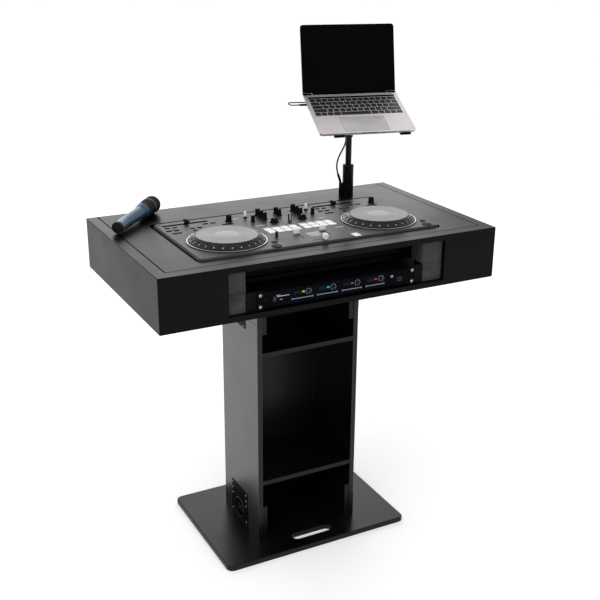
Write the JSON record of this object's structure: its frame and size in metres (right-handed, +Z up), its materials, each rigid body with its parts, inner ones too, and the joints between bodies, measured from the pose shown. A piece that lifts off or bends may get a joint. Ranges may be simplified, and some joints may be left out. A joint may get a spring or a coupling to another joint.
{
  "type": "dj booth",
  "caption": "Free-standing black DJ booth: table box on a shelf column and base plate, with sunken controller, rack receiver, laptop on a post and microphone.",
  "frame": {"origin": "middle of the base plate's underside, on the floor", "axes": "+X to the operator's right along the front, +Y away from the operator, +Z up"},
  "size_m": [1.02, 0.6132, 1.4835],
  "materials": {
    "booth_black": "satin black paint over board",
    "raw_board": "bare fibreboard",
    "latch_steel": "black powder coat",
    "rack_steel": "black powder coat",
    "screw_steel": "nickel plated",
    "receiver_front": "black anodised look",
    "black_plastic": "fine texture",
    "deck_face": "satin dark grey",
    "jog_plastic": "satin grey",
    "pale_plastic": "satin",
    "pad_rubber": "translucent white",
    "lever_metal": "turned",
    "stand_steel": "satin black powder coat",
    "laptop_aluminium": "bead blasted, grey anodised",
    "cable_sheath": "matt black",
    "mic_paint": "blue metallic lacquer"
  },
  "bodies": {
    "booth": {"base_plate": "booth_black", "plinth_walls": "booth_black", "locating_tongues": "booth_black", "column_side_walls": "booth_black", "column_back": "booth_black", "shelves": "booth_black", "socket_walls": "booth_black", "table_bottom": "booth_black", "table_walls": "booth_black", "table_front_panels": "booth_black", "top_frame": "booth_black", "top_panel": "booth_black", "controller_shelf": "booth_black", "rack_cheeks": "raw_board", "latch_plates": "latch_steel", "rack_rails": "rack_steel", "receiver_case": "rack_steel", "rack_screws": "screw_steel", "receiver_panel": "receiver_front", "receiver_knobs": "black_plastic", "controller_case": "black_plastic", "controller_deck": "deck_face", "mixer_levers": "lever_metal", "stand_sleeve": "stand_steel", "stand_cable": "cable_sheath"},
    "stand_tube": {"stand_tube": "stand_steel"},
    "tray_head": {"tray_head": "stand_steel"},
    "laptop_tray": {"laptop_tray": "stand_steel", "laptop_base": "laptop_aluminium", "laptop_lead": "cable_sheath"},
    "laptop_lid": {"laptop_lid": "laptop_aluminium"},
    "microphone": {"microphone": "mic_paint"},
    "latch_wing_left_lower": {"latch_wing_left_lower": "latch_steel"},
    "latch_wing_left_upper": {"latch_wing_left_upper": "latch_steel"},
    "latch_wing_right_lower": {"latch_wing_right_lower": "latch_steel"},
    "latch_wing_right_upper": {"latch_wing_right_upper": "latch_steel"},
    "receiver_switch": {"receiver_switch": "black_plastic"},
    "jog_left": {"jog_left": "jog_plastic"},
    "pitch_cap_left": {"pitch_cap_left": "black_plastic"},
    "jog_right": {"jog_right": "jog_plastic"},
    "pitch_cap_right": {"pitch_cap_right": "black_plastic"},
    "channel_cap_left": {"channel_cap_left": "pale_plastic"},
    "channel_cap_right": {"channel_cap_right": "pale_plastic"},
    "crossfader_cap": {"crossfader_cap": "pale_plastic"},
    "performance_pads": {"performance_pads": "pad_rubber"},
    "transport_buttons": {"transport_buttons": "pad_rubber"},
    "deck_knob_left": {"deck_knob_left": "black_plastic"},
    "eq_knob_left_high": {"eq_knob_left_high": "black_plastic"},
    "eq_knob_left_mid": {"eq_knob_left_mid": "black_plastic"},
    "eq_knob_left_low": {"eq_knob_left_low": "black_plastic"},
    "filter_knob_left": {"filter_knob_left": "black_plastic"},
    "side_knob_left": {"side_knob_left": "black_plastic"},
    "deck_knob_right": {"deck_knob_right": "black_plastic"},
    "eq_knob_right_high": {"eq_knob_right_high": "black_plastic"},
    "eq_knob_right_mid": {"eq_knob_right_mid": "black_plastic"},
    "eq_knob_right_low": {"eq_knob_right_low": "black_plastic"},
    "filter_knob_right": {"filter_knob_right": "black_plastic"},
    "side_knob_right": {"side_knob_right": "black_plastic"},
    "centre_knob_back": {"centre_knob_back": "black_plastic"},
    "centre_knob_front": {"centre_knob_front": "black_plastic"}
  },
  "joints": [
    {"name": "stand_height", "type": "slide", "parent": "booth", "child": "stand_tube", "axis": [0, 0, 1], "range_m": [-0.07, 0.04], "deforming": ["stand_cable"]},
    {"name": "head_swivel", "type": "hinge", "parent": "stand_tube", "child": "tray_head", "pos_m": [0.307, 0.193, 1.19], "axis": [0, 0, 1], "range_deg": [-60, 60]},
    {"name": "tray_tilt", "type": "hinge", "parent": "tray_head", "child": "laptop_tray", "pos_m": [0.307, 0.193, 1.23], "axis": [0.9778, -0.2096, 0], "range_deg": [-24.6, 15]},
    {"name": "lid_hinge", "type": "hinge", "parent": "laptop_tray", "child": "laptop_lid", "pos_m": [0.33085, 0.23556, 1.27785], "axis": [0.9778, -0.2096, 0], "range_deg": [-10, 125]},
    {"name": "microphone_lift", "type": "slide", "parent": "booth", "child": "microphone", "axis": [0, 0, 1], "range_m": [0, 0.15]},
    {"name": "left_lower_latch_turn", "type": "hinge", "parent": "booth", "child": "latch_wing_left_lower", "pos_m": [-0.162, 0.009, 0.0555], "axis": [-1, 0, 0], "range_deg": [0, 180]},
    {"name": "left_upper_latch_turn", "type": "hinge", "parent": "booth", "child": "latch_wing_left_upper", "pos_m": [-0.162, 0.009, 0.7535], "axis": [-1, 0, 0], "range_deg": [0, 180]},
    {"name": "right_lower_latch_turn", "type": "hinge", "parent": "booth", "child": "latch_wing_right_lower", "pos_m": [0.162, 0.009, 0.0555], "axis": [1, 0, 0], "range_deg": [0, 180]},
    {"name": "right_upper_latch_turn", "type": "hinge", "parent": "booth", "child": "latch_wing_right_upper", "pos_m": [0.162, 0.009, 0.7535], "axis": [1, 0, 0], "range_deg": [0, 180]},
    {"name": "receiver_rocker", "type": "hinge", "parent": "booth", "child": "receiver_switch", "pos_m": [-0.192, -0.292, 0.856], "axis": [1, 0, 0], "range_deg": [-8, 8]},
    {"name": "left_jog_spin", "type": "hinge", "parent": "booth", "child": "jog_left", "pos_m": [-0.239, -0.102, 0.975], "axis": [0, 0, 1], "continuous": true},
    {"name": "left_pitch_slide", "type": "slide", "parent": "booth", "child": "pitch_cap_left", "axis": [1, 0, 0], "range_m": [-0.067, 0.06]},
    {"name": "right_jog_spin", "type": "hinge", "parent": "booth", "child": "jog_right", "pos_m": [0.239, -0.102, 0.975], "axis": [0, 0, 1], "continuous": true},
    {"name": "right_pitch_slide", "type": "slide", "parent": "booth", "child": "pitch_cap_right", "axis": [1, 0, 0], "range_m": [-0.067, 0.06]},
    {"name": "left_channel_slide", "type": "slide", "parent": "booth", "child": "channel_cap_left", "axis": [0, 1, 0], "range_m": [-0.047, 0.003]},
    {"name": "right_channel_slide", "type": "slide", "parent": "booth", "child": "channel_cap_right", "axis": [0, 1, 0], "range_m": [-0.047, 0.003]},
    {"name": "crossfader_slide", "type": "slide", "parent": "booth", "child": "crossfader_cap", "axis": [1, 0, 0], "range_m": [-0.033, 0.021]},
    {"name": "pads_press", "type": "slide", "parent": "booth", "child": "performance_pads", "axis": [0, 0, 1], "range_m": [-0.0015, 0], "stiffness_N_per_m": 3000, "springref_m": 0.001},
    {"name": "transport_press", "type": "slide", "parent": "booth", "child": "transport_buttons", "axis": [0, 0, 1], "range_m": [-0.0012, 0], "stiffness_N_per_m": 2000, "springref_m": 0.001},
    {"name": "deck_knob_left_turn", "type": "hinge", "parent": "booth", "child": "deck_knob_left", "pos_m": [-0.158, 0.071, 0.968], "axis": [0, 0, 1], "range_deg": [-150, 150]},
    {"name": "eq_knob_left_high_turn", "type": "hinge", "parent": "booth", "child": "eq_knob_left_high", "pos_m": [-0.058, 0.089, 0.968], "axis": [0, 0, 1], "range_deg": [-150, 150]},
    {"name": "eq_knob_left_mid_turn", "type": "hinge", "parent": "booth", "child": "eq_knob_left_mid", "pos_m": [-0.058, 0.066, 0.968], "axis": [0, 0, 1], "range_deg": [-150, 150]},
    {"name": "eq_knob_left_low_turn", "type": "hinge", "parent": "booth", "child": "eq_knob_left_low", "pos_m": [-0.058, 0.043, 0.968], "axis": [0, 0, 1], "range_deg": [-150, 150]},
    {"name": "filter_knob_left_turn", "type": "hinge", "parent": "booth", "child": "filter_knob_left", "pos_m": [-0.0455, 0.0035, 0.968], "axis": [0, 0, 1], "range_deg": [-150, 150]},
    {"name": "side_knob_left_turn", "type": "hinge", "parent": "booth", "child": "side_knob_left", "pos_m": [-0.097, 0.038, 0.968], "axis": [0, 0, 1], "range_deg": [-150, 150]},
    {"name": "deck_knob_right_turn", "type": "hinge", "parent": "booth", "child": "deck_knob_right", "pos_m": [0.32, 0.071, 0.968], "axis": [0, 0, 1], "range_deg": [-150, 150]},
    {"name": "eq_knob_right_high_turn", "type": "hinge", "parent": "booth", "child": "eq_knob_right_high", "pos_m": [0.058, 0.089, 0.968], "axis": [0, 0, 1], "range_deg": [-150, 150]},
    {"name": "eq_knob_right_mid_turn", "type": "hinge", "parent": "booth", "child": "eq_knob_right_mid", "pos_m": [0.058, 0.066, 0.968], "axis": [0, 0, 1], "range_deg": [-150, 150]},
    {"name": "eq_knob_right_low_turn", "type": "hinge", "parent": "booth", "child": "eq_knob_right_low", "pos_m": [0.058, 0.043, 0.968], "axis": [0, 0, 1], "range_deg": [-150, 150]},
    {"name": "filter_knob_right_turn", "type": "hinge", "parent": "booth", "child": "filter_knob_right", "pos_m": [0.0455, 0.0035, 0.968], "axis": [0, 0, 1], "range_deg": [-150, 150]},
    {"name": "side_knob_right_turn", "type": "hinge", "parent": "booth", "child": "side_knob_right", "pos_m": [0.097, 0.038, 0.968], "axis": [0, 0, 1], "range_deg": [-150, 150]},
    {"name": "centre_knob_back_turn", "type": "hinge", "parent": "booth", "child": "centre_knob_back", "pos_m": [0, 0.087, 0.968], "axis": [0, 0, 1], "range_deg": [-150, 150]},
    {"name": "centre_knob_front_turn", "type": "hinge", "parent": "booth", "child": "centre_knob_front", "pos_m": [0, 0.064, 0.968], "axis": [0, 0, 1], "range_deg": [-150, 150]}
  ]
}
